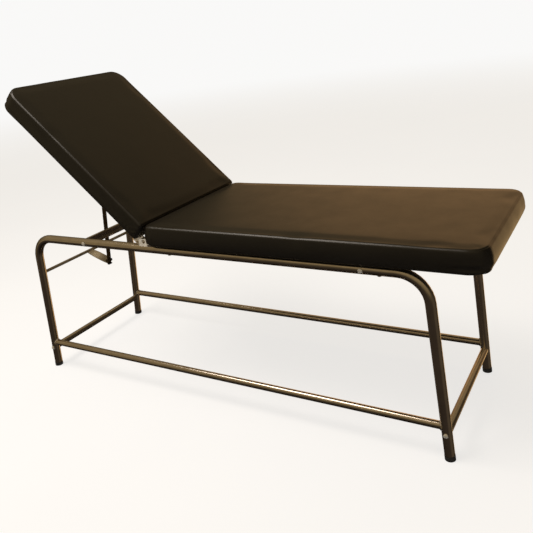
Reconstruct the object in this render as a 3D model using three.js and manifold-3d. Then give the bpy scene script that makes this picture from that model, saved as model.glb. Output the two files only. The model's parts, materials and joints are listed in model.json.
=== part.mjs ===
// Two-section examination couch: bent-tube steel frame, flat seat section and a
// backrest that is raised on a ratchet bar. Millimetres, +Z up, +X towards the foot end,
// -Y is the near side. The origin is on the floor under the middle of the couch.
import * as THREE from 'three';
import { mergeVertices } from 'three/addons/utils/BufferGeometryUtils.js';
import Module from 'manifold-3d';

const wasm = await Module();
wasm.setup();

// ---------------------------------------------------------------- driving dimensions

const GAP = 0.3;                       // clearance left between touching pieces
const SIDES = [['near', -1], ['far', 1]];

const RAIL_Z = 597;                    // height of the rail axis
const SIDE_Y = 264;                    // half the spacing of the two side frames
const LEG_FLOOR_X = 854;               // where both leg axes meet the floor
const HEAD_CORNER_X = -782;            // where leg and rail axes cross, head end
const FOOT_CORNER_X = 796;             // the same at the foot end
const BEND_RADIUS = 95;                // centre-line radius of the tube bends
const MAIN_TUBE = { radius: 15.9, wall: 1.5 };
const LOWER_TUBE = { radius: 12.7, wall: 1.5 };
const TUBE_SIDES = 20;

const LONG_STRETCHER_Z = 115.6;
const CROSS_STRETCHER_Z = 92;
const HEAD_CROSS_TUBE_X = -499;
const FOOT_CROSS_TUBE_X = 608;
const STAY_BAR = { z: 442, radius: 6.35 };

const FOOT = { tubeEnd: 16, rimRadius: 16.6, plugLength: 26 };
const FRAME_BOLT = { radius: 4, headRadius: 7.5, headHeight: 4.6, tip: 222 };
const END_PLUG_LENGTH = 20;

const PAD_HALF_WIDTH = 295.5;
const PAD_THICKNESS = 72.5;
const PAD_BOTTOM_Z = 617;
const PAD_EDGE = 12;                   // rounding of the long edges of a pad
const END_CORNER = 56;                 // plan rounding at the free end of a pad
const HINGE_CORNER = 26;               // plan rounding at the hinge end of a pad
const COVER_WALL = 1.5;
const COVER_HEM = 20;                  // how far the cover turns under the board
const BOARD_THICKNESS = 12;
const BOARD_INSET = 14;                // the foam is wrapped this far round the board's edges
const SEAT_HEAD_X = -182;
const SEAT_FOOT_X = 958;
const BACKREST_LENGTH = 717;

const HINGE = { x: -200, z: 626, boltRadius: 4 };
const BACKREST_SETBACK = 25.8;         // hinge axis to the end face of the backrest pad
const BACKREST_REST_ANGLE = 43;        // degrees above flat

// The bracket on the rail: a strap under the seat board and a box of two cheeks, a top and an end.
// Its edges, its bottom and its hole are drawn from the hinge axis.
const STRAP = { footX: -124, halfWidth: 9, thickness: 3 };
const STRAP_SCREW = { x: [-166, -138], radius: 2.3, headRadius: 4.4, length: 14 };
const CHEEK = { outerY: 276, innerY: 255, thickness: 2.5, bottom: -20, accessRadius: 7.4 };
const CHEEK_EDGES = { head: -21.5, foot: 14, top: 10, headCorner: 12, footCorner: 3 };

// The hinge leaf screwed under the backrest board, drawn flat about the hinge axis.
const PLATE_THICKNESS = 3;
const ARM = { outerY: 247.2, eyeRadius: 15, reach: 135, depth: 26 };
const LEAF = { headX: -54, footX: -10, depth: 56, corner: 6, hole: { x: -46.5, z: -41, radius: 2.2 } };
const TAB = { headX: -62, footX: -24.2, outerY: 270 };
const FLANGE = { headX: -130, footX: -52, innerY: 214 };
const HINGE_BOLT_HEAD = { radius: 6.8, height: 4.8, tip: 234 };
const HINGE_NUT = { radius: 7.5, height: 6.5 };
const PAN_SCREW = { radius: 2.2, headRadius: 4.4, headHeight: 2.4, grip: 14 };

const SEAT_SCREW_X = [-100, 660];
const SEAT_SCREW = { radius: 3, headRadius: 6.5, headHeight: 2.2, bite: 9 };
const PACKER = { length: 40, width: 16 };

const RATCHET_PIVOT = { reach: 526.75, drop: 20 };   // from the hinge axis, pad flat
const RATCHET_LEAN = 9.09;             // degrees off vertical with the backrest raised
const RATCHET_BAR = { length: 589, width: 20, thickness: 4, eyeRadius: 8, lip: 7 };
const TOOTH = { pitch: 30, depth: 1.2, count: 16 };
const CATCH = { x: -690.5, z: 406, depth: 10, width: 21, wall: 2.5, height: 10 };
const CATCH_ARM = { width: 31, thickness: 4, twist: 90, twistSteps: 18, trimmed: 12 };

const RAIL_TOP_Z = RAIL_Z + MAIN_TUBE.radius;
const BOARD_BOTTOM_Z = PAD_BOTTOM_Z + COVER_WALL + GAP;
const COUCH_MIDDLE_X = (SEAT_FOOT_X - LEG_FLOOR_X - FOOT.rimRadius) / 2;

// ---------------------------------------------------------------- materials

function material(color, roughness, metalness) {
  return new THREE.MeshStandardMaterial({ color, roughness, metalness });
}

const steel = material(0xa89f8c, 0.22, 1.0);
const darkSteel = material(0x3d342a, 0.35, 1.0);
const zinc = material(0xc9c6bc, 0.42, 0.9);
const vinyl = material(0x2b241b, 0.38, 0.0);
const rubber = material(0x17181a, 0.8, 0.0);
const plywood = material(0xb08d5f, 0.75, 0.0);
const foam = material(0xd8c98f, 0.95, 0.0);

// ---------------------------------------------------------------- solid helpers

const vec = (x, y, z) => new THREE.Vector3(x, y, z);

function toSolid(geometry) {
  const bare = geometry.index ? geometry.toNonIndexed() : geometry.clone();
  bare.deleteAttribute('normal');
  bare.deleteAttribute('uv');
  const merged = mergeVertices(bare, 1e-3);
  return new wasm.Manifold(new wasm.Mesh({
    numProp: 3,
    vertProperties: new Float32Array(merged.attributes.position.array),
    triVerts: new Uint32Array(merged.index.array),
  }));
}

function toGeometry(solid) {
  const mesh = solid.getMesh();
  const geometry = new THREE.BufferGeometry();
  geometry.setAttribute('position', new THREE.BufferAttribute(new Float32Array(mesh.vertProperties), 3));
  geometry.setIndex(new THREE.BufferAttribute(new Uint32Array(mesh.triVerts), 1));
  return geometry;
}

function join(...geometries) {
  const [first, ...rest] = geometries.map(toSolid);
  return toGeometry(rest.reduce((whole, next) => whole.add(next), first));
}

function cut(geometry, ...tools) {
  return toGeometry(tools.map(toSolid).reduce((whole, tool) => whole.subtract(tool), toSolid(geometry)));
}

function box(x0, x1, y0, y1, z0, z1) {
  const geometry = new THREE.BoxGeometry(x1 - x0, y1 - y0, z1 - z0);
  return geometry.translate((x0 + x1) / 2, (y0 + y1) / 2, (z0 + z1) / 2);
}

// The low and high Y of a span given by its distances from the middle plane.
function between(side, inner, outer) {
  return side > 0 ? [inner, outer] : [-outer, -inner];
}

function rod(from, to, radius, sides = 16) {
  const along = to.clone().sub(from);
  const geometry = new THREE.CylinderGeometry(radius, radius, along.length(), sides);
  const turn = new THREE.Quaternion().setFromUnitVectors(vec(0, 1, 0), along.normalize());
  const middle = from.clone().add(to).multiplyScalar(0.5);
  return geometry.applyQuaternion(turn).translate(middle.x, middle.y, middle.z);
}

function rodAlongY(x, z, y0, y1, radius, sides = 16) {
  return rod(vec(x, y0, z), vec(x, y1, z), radius, sides);
}

// A flat plate whose outline is drawn in X and Z, between two values of Y.
function plate(outline, y0, y1) {
  const shape = new THREE.Shape(outline.map(([x, z]) => new THREE.Vector2(x, z)));
  const thickness = Math.abs(y1 - y0);
  const geometry = new THREE.ExtrudeGeometry(shape, { depth: thickness, bevelEnabled: false });
  return geometry.rotateX(Math.PI / 2).translate(0, Math.max(y0, y1), 0);
}

function arcPoints(x, z, radius, startDegrees, endDegrees, steps) {
  return Array.from({ length: steps + 1 }, (_, i) => {
    const angle = THREE.MathUtils.degToRad(startDegrees + (endDegrees - startDegrees) * i / steps);
    return [x + radius * Math.cos(angle), z + radius * Math.sin(angle)];
  });
}

// A turned fastener standing on the Y axis: its profile is [radius, y] pairs from axis to axis.
function turned(profile, sides = 16) {
  return new THREE.LatheGeometry(profile.map(([r, y]) => new THREE.Vector2(r, y)), sides);
}

function mesh(name, geometry, look) {
  const node = new THREE.Mesh(geometry, look);
  node.name = name;
  return node;
}

// ---------------------------------------------------------------- bent side frames

// A curve that is sampled exactly at the given stations, so straight runs stay coarse.
class StationCurve extends THREE.Curve {
  constructor(stations) {
    super();
    this.stations = stations;
  }

  station(t) {
    return this.stations[Math.round(t * (this.stations.length - 1))];
  }

  getPointAt(t, target = new THREE.Vector3()) {
    return target.copy(this.station(t).point);
  }

  getTangentAt(t, target = new THREE.Vector3()) {
    return target.copy(this.station(t).tangent);
  }
}

const legTop = { head: vec(HEAD_CORNER_X, 0, RAIL_Z), foot: vec(FOOT_CORNER_X, 0, RAIL_Z) };
const legFloor = { head: vec(-LEG_FLOOR_X, 0, 0), foot: vec(LEG_FLOOR_X, 0, 0) };

function legAxis(end, side, z) {
  return legFloor[end].clone().lerp(legTop[end], z / RAIL_Z).setY(side * SIDE_Y);
}

function bendStations(corner, before, after, steps) {
  const turnAngle = before.angleTo(after);
  const setback = BEND_RADIUS * Math.tan(turnAngle / 2);
  const start = corner.clone().addScaledVector(before, -setback);
  const normal = after.clone().addScaledVector(before, -after.dot(before)).normalize();
  return Array.from({ length: steps + 1 }, (_, i) => {
    const angle = turnAngle * i / steps;
    const point = start.clone()
      .addScaledVector(before, BEND_RADIUS * Math.sin(angle))
      .addScaledVector(normal, BEND_RADIUS * (1 - Math.cos(angle)));
    const tangent = before.clone().multiplyScalar(Math.cos(angle)).addScaledVector(normal, Math.sin(angle));
    return { point, tangent };
  });
}

function ringShape(outerRadius, innerRadius) {
  const circle = (radius) => Array.from({ length: TUBE_SIDES }, (_, i) => {
    const angle = 2 * Math.PI * i / TUBE_SIDES;
    return new THREE.Vector2(radius * Math.cos(angle), radius * Math.sin(angle));
  });
  const shape = new THREE.Shape(circle(outerRadius));
  shape.holes.push(new THREE.Path(circle(innerRadius)));
  return shape;
}

function sideFrame(side) {
  const up = legTop.head.clone().sub(legFloor.head).normalize();
  const along = vec(1, 0, 0);
  const down = legFloor.foot.clone().sub(legTop.foot).normalize();
  const stations = [
    { point: legAxis('head', 0, FOOT.tubeEnd), tangent: up },
    ...bendStations(legTop.head, up, along, 9),
    ...bendStations(legTop.foot, along, down, 9),
    { point: legAxis('foot', 0, FOOT.tubeEnd), tangent: down },
  ];
  const tube = new THREE.ExtrudeGeometry(
    ringShape(MAIN_TUBE.radius, MAIN_TUBE.radius - MAIN_TUBE.wall),
    { steps: stations.length - 1, extrudePath: new StationCurve(stations), bevelEnabled: false },
  ).translate(0, side * SIDE_Y, 0);
  const clear = 2 * MAIN_TUBE.radius;
  const boltHoles = boltedCrossMembers.map(({ x, z }) =>
    rodAlongY(x, z, ...between(side, SIDE_Y - clear, SIDE_Y + clear), FRAME_BOLT.radius + GAP));
  const railHole = (x, fromZ, radius) =>
    rod(vec(x, side * SIDE_Y, fromZ), vec(x, side * SIDE_Y, RAIL_Z + clear), radius + GAP);
  const screwHoles = SEAT_SCREW_X.map((x) => railHole(x, RAIL_Z - clear, SEAT_SCREW.radius));
  const strapHoles = STRAP_SCREW.x.map((x) => railHole(x, RAIL_Z, STRAP_SCREW.radius));
  return cut(tube, ...boltHoles, ...screwHoles, ...strapHoles);
}

// ---------------------------------------------------------------- stretchers and cross tubes

const legAt = (end, z) => legAxis(end, 0, z).x;

const lowCrossMember = (end) => ({
  name: `cross_stretcher_${end}`, x: legAt(end, CROSS_STRETCHER_Z), z: CROSS_STRETCHER_Z, tube: LOWER_TUBE,
});

const boltedCrossMembers = [
  lowCrossMember('head'),
  lowCrossMember('foot'),
  { name: 'head_cross_tube', x: HEAD_CROSS_TUBE_X, z: RAIL_Z, tube: MAIN_TUBE },
  { name: 'foot_cross_tube', x: FOOT_CROSS_TUBE_X, z: RAIL_Z, tube: MAIN_TUBE },
];

// The space a side frame takes up, with clearance, used to cope the members that meet it.
function copeTools() {
  const radius = MAIN_TUBE.radius + GAP;
  return [-1, 1].flatMap((side) => [
    rod(legAxis('head', side, -20), legAxis('head', side, RAIL_Z), radius, 32),
    rod(legAxis('foot', side, -20), legAxis('foot', side, RAIL_Z), radius, 32),
    rod(legAxis('head', side, RAIL_Z), legAxis('foot', side, RAIL_Z), radius, 32),
  ]);
}

function copedTube(from, to, tube) {
  const inner = tube.radius - tube.wall;
  return cut(rod(from, to, tube.radius, TUBE_SIDES), rod(from, to, inner, TUBE_SIDES), ...copeTools());
}

// A cross member has a bored plug welded into each end, which its bolts screw into.
function boltedTube(x, z, tube) {
  const bare = copedTube(vec(x, -SIDE_Y, z), vec(x, SIDE_Y, z), tube);
  const plugOuterY = SIDE_Y - MAIN_TUBE.radius - 1.5;
  const plugs = [-1, 1].map((side) =>
    rodAlongY(x, z, side * (plugOuterY - END_PLUG_LENGTH), side * plugOuterY, tube.radius - 0.6, TUBE_SIDES));
  return cut(join(bare, ...plugs), rodAlongY(x, z, -SIDE_Y, SIDE_Y, FRAME_BOLT.radius + GAP));
}

function frameMembers() {
  const crossMembers = boltedCrossMembers.map(({ name, x, z, tube }) =>
    mesh(name, boltedTube(x, z, tube), steel));
  const longStretchers = SIDES.map(([place, side]) =>
    mesh(`long_stretcher_${place}`, copedTube(
      legAxis('head', side, LONG_STRETCHER_Z), legAxis('foot', side, LONG_STRETCHER_Z), LOWER_TUBE), steel));
  const stayBar = cut(
    rod(legAxis('head', -1, STAY_BAR.z), legAxis('head', 1, STAY_BAR.z), STAY_BAR.radius, TUBE_SIDES),
    ...copeTools());
  return [...crossMembers, ...longStretchers, mesh('stay_bar', stayBar, steel)];
}

// ---------------------------------------------------------------- bolts of the frame

function frameBolt() {
  const { radius, headRadius, headHeight, tip } = FRAME_BOLT;
  const seatY = SIDE_Y + MAIN_TUBE.radius + GAP;
  return turned([
    [0, tip], [radius, tip], [radius, seatY], [headRadius, seatY],
    [headRadius, seatY + headHeight * 0.35], [headRadius * 0.72, seatY + headHeight * 0.8],
    [headRadius * 0.36, seatY + headHeight], [0, seatY + headHeight],
  ]);
}

// A piece drawn along +Y, turned to face outwards on the near side (-1) or the far side (1).
function facing(side, geometry) {
  return side > 0 ? geometry : geometry.rotateZ(Math.PI);
}

function frameBolts() {
  return boltedCrossMembers.flatMap(({ name, x, z }) => SIDES.map(([place, side]) =>
    mesh(`bolt_${name}_${place}`, facing(side, frameBolt()).translate(x, 0, z), zinc)));
}

// ---------------------------------------------------------------- rubber feet

function rubberFoot(end, side) {
  const plugRadius = MAIN_TUBE.radius - MAIN_TUBE.wall - GAP - 0.2;
  const tubeEnd = legAxis(end, side, FOOT.tubeEnd);
  const towardFloor = legAxis(end, side, 0).sub(legAxis(end, side, RAIL_Z)).normalize();
  const rimTop = tubeEnd.clone().addScaledVector(towardFloor, GAP);
  const plugTop = tubeEnd.clone().addScaledVector(towardFloor, -FOOT.plugLength);
  const belowFloor = tubeEnd.clone().addScaledVector(towardFloor, 40);
  const rim = rod(rimTop, belowFloor, FOOT.rimRadius, TUBE_SIDES);
  const whole = join(rim, rod(plugTop, belowFloor, plugRadius));
  const x = tubeEnd.x;
  const y = tubeEnd.y;
  return cut(whole, box(x - 60, x + 60, y - 60, y + 60, -80, 0));
}

// ---------------------------------------------------------------- hinge brackets on the rails

const strapBottomZ = RAIL_TOP_Z + GAP;
const strapTopZ = strapBottomZ + STRAP.thickness;

const countersunk = (radius, headRadius, length) =>
  turned([[0, -length], [radius, -length], [radius, -3], [headRadius, -0.4], [headRadius, 0], [0, 0]]);

// The same screw's space: shank clearance hole and countersink.
const countersink = (radius, headRadius, length) =>
  turned([
    [0, -length], [radius + GAP, -length], [radius + GAP, -3 - GAP], [headRadius + GAP, -0.4 - GAP],
    [headRadius + GAP, 1], [0, 1],
  ]);

function cheekOutline(bottom) {
  const left = HINGE.x + CHEEK_EDGES.head;
  const right = HINGE.x + CHEEK_EDGES.foot;
  const top = HINGE.z + CHEEK_EDGES.top;
  const { headCorner, footCorner } = CHEEK_EDGES;
  return [
    [left, bottom], [right, bottom],
    ...arcPoints(right - footCorner, top - footCorner, footCorner, 0, 90, 3),
    ...arcPoints(left + headCorner, top - headCorner, headCorner, 90, 180, 7),
  ];
}

function hingeBracket(side) {
  const { outerY, innerY, thickness, bottom, accessRadius } = CHEEK;
  const left = HINGE.x + CHEEK_EDGES.head;
  const right = HINGE.x + CHEEK_EDGES.foot;
  const top = HINGE.z + CHEEK_EDGES.top;
  const depth = between(side, innerY, outerY);
  const outerCheek = plate(cheekOutline(HINGE.z + bottom), side * outerY, side * (outerY - thickness));
  const innerCheek = plate(cheekOutline(strapBottomZ), side * innerY, side * (innerY + thickness));
  const crown = box(left + CHEEK_EDGES.headCorner - 1, right - 1, ...depth, top - thickness, top);
  const end = box(right - thickness, right, ...depth, strapBottomZ, top - CHEEK_EDGES.footCorner);
  const base = box(left, right, ...depth, strapBottomZ, strapTopZ);
  const strapWidth = between(side, SIDE_Y - STRAP.halfWidth, SIDE_Y + STRAP.halfWidth);
  const strap = box(left, STRAP.footX, ...strapWidth, strapBottomZ, strapTopZ);
  const bore = rodAlongY(HINGE.x, HINGE.z, ...between(side, innerY - 5, innerY + 5), HINGE.boltRadius + GAP);
  const access = rodAlongY(HINGE.x, HINGE.z, ...between(side, outerY - 8, outerY + 5), accessRadius, 24);
  const railSpace = rod(vec(left - 20, side * SIDE_Y, RAIL_Z), vec(right + 20, side * SIDE_Y, RAIL_Z),
    MAIN_TUBE.radius + GAP, 40);
  const sinks = STRAP_SCREW.x.map((x) => countersink(STRAP_SCREW.radius, STRAP_SCREW.headRadius, 20)
    .rotateX(Math.PI / 2).translate(x, side * SIDE_Y, strapTopZ));
  return cut(join(strap, base, outerCheek, innerCheek, crown, end), bore, access, railSpace, ...sinks);
}

function strapScrews() {
  const { radius, headRadius, length } = STRAP_SCREW;
  return SIDES.flatMap(([place, side]) => STRAP_SCREW.x.map((x, i) => mesh(`strap_screw_${place}_${i + 1}`,
    countersunk(radius, headRadius, length).rotateX(Math.PI / 2).translate(x, side * SIDE_Y, strapTopZ),
    zinc)));
}

// ---------------------------------------------------------------- hinge bolts, bushes and nuts

const armInnerY = ARM.outerY - PLATE_THICKNESS;

function hingeBolt() {
  const shank = HINGE.boltRadius;
  const { radius, height, tip } = HINGE_BOLT_HEAD;
  const seatY = CHEEK.innerY + CHEEK.thickness + GAP;
  const body = turned([
    [0, tip], [shank, tip], [shank, seatY], [radius, seatY], [radius, seatY + height * 0.45],
    [radius * 0.72, seatY + height * 0.88], [0, seatY + height],
  ]);
  const socket = new THREE.CylinderGeometry(2.9, 2.9, 6, 6).translate(0, seatY + height, 0);
  return cut(body, socket);
}

function hingeBush() {
  const bore = HINGE.boltRadius + GAP;
  return turned([
    [bore, ARM.outerY + GAP], [7.5, ARM.outerY + GAP],
    [7.5, CHEEK.innerY - GAP], [bore, CHEEK.innerY - GAP], [bore, ARM.outerY + GAP],
  ]);
}

function hingeNut() {
  const bore = rodAlongY(0, 0, 220, 260, HINGE.boltRadius + GAP);
  const { radius, height } = HINGE_NUT;
  const hexagon = new THREE.CylinderGeometry(radius, radius, height, 6)
    .translate(0, armInnerY - GAP - height / 2, 0);
  return cut(hexagon, bore);
}

function hingeFasteners() {
  const pieces = { hinge_bolt: hingeBolt, hinge_bush: hingeBush, hinge_nut: hingeNut };
  return Object.entries(pieces).flatMap(([name, make]) => SIDES.map(([place, side]) =>
    mesh(`${name}_${place}`, facing(side, make()).translate(HINGE.x, 0, HINGE.z), zinc)));
}

// ---------------------------------------------------------------- pads

function padPlan(x0, x1, inset) {
  const y = PAD_HALF_WIDTH - inset;
  const [free, hinge] = [END_CORNER - inset, HINGE_CORNER - inset].map((radius) => Math.max(radius, 2));
  const [startRadius, endRadius] = x0 === SEAT_HEAD_X ? [hinge, free] : [free, hinge];
  const [a, b] = [x0 + inset, x1 - inset];
  const quarter = Math.PI / 2;
  const shape = new THREE.Shape();
  shape.absarc(a + startRadius, -y + startRadius, startRadius, 2 * quarter, 3 * quarter);
  shape.absarc(b - endRadius, -y + endRadius, endRadius, 3 * quarter, 4 * quarter);
  shape.absarc(b - endRadius, y - endRadius, endRadius, 0, quarter);
  shape.absarc(a + startRadius, y - startRadius, startRadius, quarter, 2 * quarter);
  shape.closePath();
  return shape;
}

// The space inside a pad's outer surface, drawn in from it by an inset.
function padBody(x0, x1, bottom, inset) {
  const edge = PAD_EDGE - inset;
  const geometry = new THREE.ExtrudeGeometry(padPlan(x0, x1, inset), {
    depth: PAD_THICKNESS - 2 * inset - 2 * edge,
    bevelThickness: edge, bevelSize: edge, bevelOffset: -edge, bevelSegments: 3, curveSegments: 3,
  });
  return geometry.translate(0, 0, bottom + inset + edge);
}

// An upright block with a pad's plan, drawn in from its outline by an inset.
function planBlock(x0, x1, inset, bottom, top) {
  const settings = { depth: top - bottom, bevelEnabled: false, curveSegments: 3 };
  return new THREE.ExtrudeGeometry(padPlan(x0, x1, inset), settings).translate(0, 0, bottom);
}

function padPieces(name, x0, x1, bottom, boardCuts) {
  const boardBottom = bottom + COVER_WALL + GAP;
  const boardTop = boardBottom + BOARD_THICKNESS;
  const board = planBlock(x0, x1, BOARD_INSET, boardBottom, boardTop);
  const boardSpace = planBlock(x0, x1, BOARD_INSET - GAP, bottom - 5, boardTop + GAP);
  const hemOpening = planBlock(x0, x1, COVER_HEM, bottom - 5, bottom + COVER_WALL + 1);
  const cover = cut(padBody(x0, x1, bottom, 0), padBody(x0, x1, bottom, COVER_WALL), hemOpening);
  const cushion = cut(padBody(x0, x1, bottom, COVER_WALL + GAP), boardSpace);
  return [
    mesh(`${name}_board`, cut(board, ...boardCuts), plywood),
    mesh(`${name}_foam`, cushion, foam),
    mesh(`${name}_cover`, cover, vinyl),
  ];
}

// ---------------------------------------------------------------- seat fixings

const seatFixings = SIDES.flatMap(([place, side]) => SEAT_SCREW_X.map((x, i) =>
  ({ x, y: side * SIDE_Y, suffix: `${place}_${i + 1}` })));
const packerTopZ = BOARD_BOTTOM_Z - GAP;

function seatScrew() {
  const under = RAIL_Z - MAIN_TUBE.radius - GAP;
  const { radius, headRadius, headHeight, bite } = SEAT_SCREW;
  const tip = BOARD_BOTTOM_Z + bite;
  return turned([
    [0, under - headHeight], [headRadius * 0.7, under - headHeight], [headRadius, under - headHeight * 0.4],
    [headRadius, under], [radius, under], [radius, tip - 2], [0, tip],
  ]).rotateX(Math.PI / 2);
}

function seatPacker(x, y) {
  const { length, width } = PACKER;
  return cut(
    box(x - length / 2, x + length / 2, y - width / 2, y + width / 2, RAIL_TOP_Z + GAP, packerTopZ),
    rod(vec(x, y, RAIL_Z), vec(x, y, BOARD_BOTTOM_Z + 10), SEAT_SCREW.radius + GAP),
  );
}

function seatFasteners() {
  return seatFixings.flatMap(({ x, y, suffix }) => [
    mesh(`seat_screw_${suffix}`, seatScrew().translate(x, y, 0), zinc),
    mesh(`seat_packer_${suffix}`, seatPacker(x, y), rubber),
  ]);
}

function seatBoardHoles() {
  return seatFixings.map(({ x, y }) => rod(vec(x, y, PAD_BOTTOM_Z - 5),
    vec(x, y, BOARD_BOTTOM_Z + SEAT_SCREW.bite + 0.5), SEAT_SCREW.radius + GAP));
}

// ---------------------------------------------------------------- backrest, flat about the hinge axis

const backX0 = -BACKREST_SETBACK - BACKREST_LENGTH;
const backX1 = -BACKREST_SETBACK;
const backBottom = PAD_BOTTOM_Z - HINGE.z;
const flangeTop = backBottom + COVER_WALL;

function backrestArm(side) {
  const top = backBottom - GAP;
  const leaf = plate([
    ...arcPoints(0, 0, ARM.eyeRadius, 150, -50, 14),
    [LEAF.footX, -LEAF.depth + LEAF.corner], [LEAF.footX - LEAF.corner, -LEAF.depth],
    [LEAF.headX + LEAF.corner, -LEAF.depth], [LEAF.headX, -LEAF.depth + LEAF.corner],
    [LEAF.headX, -ARM.depth], [-ARM.reach + 12, -ARM.depth + 8], [-ARM.reach, top - 6],
    [-ARM.reach, top], [-18, top],
  ].reverse(), side * ARM.outerY, side * armInnerY);
  const tab = box(TAB.headX, TAB.footX, ...between(side, armInnerY, TAB.outerY), top - PLATE_THICKNESS, top);
  const flange = box(FLANGE.headX, FLANGE.footX, ...between(side, FLANGE.innerY, ARM.outerY),
    flangeTop - PLATE_THICKNESS, flangeTop);
  const through = between(side, armInnerY - 5, ARM.outerY + 5);
  const pivotBore = rodAlongY(0, 0, ...through, HINGE.boltRadius + GAP);
  const leafHole = rodAlongY(LEAF.hole.x, LEAF.hole.z, ...through, LEAF.hole.radius);
  const holes = armScrewPlaces(side).map(([x, y]) =>
    rod(vec(x, y, -40), vec(x, y, 0), PAN_SCREW.radius + GAP));
  return cut(join(leaf, tab, flange), pivotBore, leafHole, ...holes);
}

function armScrewPlaces(side) {
  return [-116, -70].map((x) => [x, side * 228]);
}

function panScrew(x, y, undersideZ) {
  const { radius, headRadius, headHeight, grip } = PAN_SCREW;
  return turned([
    [0, -headHeight - GAP], [headRadius * 0.75, -headHeight - GAP], [headRadius, -headHeight * 0.45],
    [headRadius, -GAP], [radius, -GAP], [radius, grip - 1], [0, grip],
  ]).rotateX(Math.PI / 2).translate(x, y, undersideZ);
}

const clevisX = -RATCHET_PIVOT.reach;
const clevisScrewPlaces = [[clevisX - 14, -23], [clevisX + 14, 23]];
const backScrewPlaces = [...armScrewPlaces(-1), ...armScrewPlaces(1), ...clevisScrewPlaces];

function stayClevis() {
  const pinZ = -RATCHET_PIVOT.drop;
  const base = box(clevisX - 27, clevisX + 27, -30, 30, flangeTop - PLATE_THICKNESS, flangeTop);
  const earRoot = flangeTop - 1;
  const ear = (side) => plate([
    [clevisX - 16, earRoot], ...arcPoints(clevisX, pinZ, 10, 180, 360, 8), [clevisX + 16, earRoot],
  ], side * 10.6, side * 13.6);
  const bore = rodAlongY(clevisX, pinZ, -40, 40, 4 + GAP);
  const holes = clevisScrewPlaces.map(([x, y]) => rod(vec(x, y, -40), vec(x, y, 0), PAN_SCREW.radius + GAP));
  return cut(join(base, ear(-1), ear(1)), bore, ...holes);
}

function clevisPin() {
  return turned([[0, -16], [6.4, -16], [6.4, -13.9], [4, -13.9], [4, 13.9], [6.4, 13.9], [6.4, 16], [0, 16]])
    .translate(clevisX, 0, -RATCHET_PIVOT.drop);
}

function backBoardHoles() {
  return backScrewPlaces.map(([x, y]) =>
    rod(vec(x, y, backBottom - 5), vec(x, y, flangeTop + PAN_SCREW.grip - 0.5), PAN_SCREW.radius + GAP));
}

// ---------------------------------------------------------------- ratchet bar and its catch

// Drawn hanging straight down from the pivot pin, teeth on the head-end face.
function ratchetBar() {
  const { length, width, thickness, eyeRadius, lip } = RATCHET_BAR;
  const end = -length;
  const half = thickness / 2;
  const strip = box(-half, half, -width / 2, width / 2, end, -2);
  const eye = rodAlongY(0, 0, -width / 2, width / 2, eyeRadius, 20);
  const foot = box(-half, lip, -width / 2, width / 2, end, end + thickness);
  const bore = rodAlongY(0, 0, -40, 40, 4 + GAP);
  const teeth = Array.from({ length: TOOTH.count }, (_, i) => {
    const z = end + 24 + i * TOOTH.pitch;
    return plate([[-half - 1, z - 1], [-half + TOOTH.depth, z], [-half - 1, z + 7]], -width, width);
  });
  return cut(join(strip, eye, foot), bore, ...teeth);
}

function catchLoop() {
  const { x, z, depth, width, wall, height } = CATCH;
  const [outerX, outerY, halfHeight] = [depth / 2 + wall, width / 2 + wall, height / 2];
  return cut(
    box(x - outerX, x + outerX, -outerY, outerY, z - halfHeight, z + halfHeight),
    box(x - depth / 2, x + depth / 2, -width / 2, width / 2, z - height, z + height),
  );
}

// A strip welded flat along the stay bar and twisted a quarter turn, so that it meets the loop on edge.
function catchArm() {
  const { width, thickness, twist, twistSteps, trimmed } = CATCH_ARM;
  const root = legAxis('head', 0, STAY_BAR.z);
  const end = vec(CATCH.x - CATCH.depth / 2 - CATCH.wall - GAP, 0, CATCH.z);
  const along = end.clone().sub(root);
  const length = along.length() + trimmed;
  const strip = new THREE.BoxGeometry(thickness, width, length, 1, 1, twistSteps).translate(0, 0, length / 2);
  const upright = vec(0, 0, 1);
  const corners = strip.attributes.position;
  for (let i = 0; i < corners.count; i += 1) {
    const turn = THREE.MathUtils.degToRad(twist * corners.getZ(i) / length);
    const corner = vec(corners.getX(i), corners.getY(i), corners.getZ(i)).applyAxisAngle(upright, turn);
    corners.setXYZ(i, corner.x, corner.y, corner.z);
  }
  strip.rotateY(Math.atan2(along.x, along.z)).translate(root.x, root.y, root.z);
  const barSpace = rodAlongY(root.x, root.z, -30, 30, STAY_BAR.radius + GAP, 32);
  const loopSpace = box(end.x, end.x + 60, -30, 30, CATCH.z - 60, CATCH.z + 60);
  const behindBar = box(root.x - 60, root.x, -30, 30, root.z - 60, root.z + 60);
  return cut(strip, barSpace, loopSpace, behindBar);
}

// ---------------------------------------------------------------- the couch

const couch = new THREE.Group();
couch.position.x = -COUCH_MIDDLE_X;

couch.add(
  mesh('side_frame_near', sideFrame(-1), steel),
  mesh('side_frame_far', sideFrame(1), steel),
  ...frameMembers(),
  ...frameBolts(),
);

for (const end of ['head', 'foot']) {
  for (const [place, side] of SIDES) {
    couch.add(mesh(`rubber_foot_${end}_${place}`, rubberFoot(end, side), rubber));
  }
}

couch.add(
  mesh('hinge_bracket_near', hingeBracket(-1), zinc),
  mesh('hinge_bracket_far', hingeBracket(1), zinc),
  ...strapScrews(),
  ...hingeFasteners(),
  mesh('catch_arm', catchArm(), steel),
  mesh('catch_loop', catchLoop(), darkSteel),
  ...padPieces('seat', SEAT_HEAD_X, SEAT_FOOT_X, PAD_BOTTOM_Z, seatBoardHoles()),
  ...seatFasteners(),
);

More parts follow.
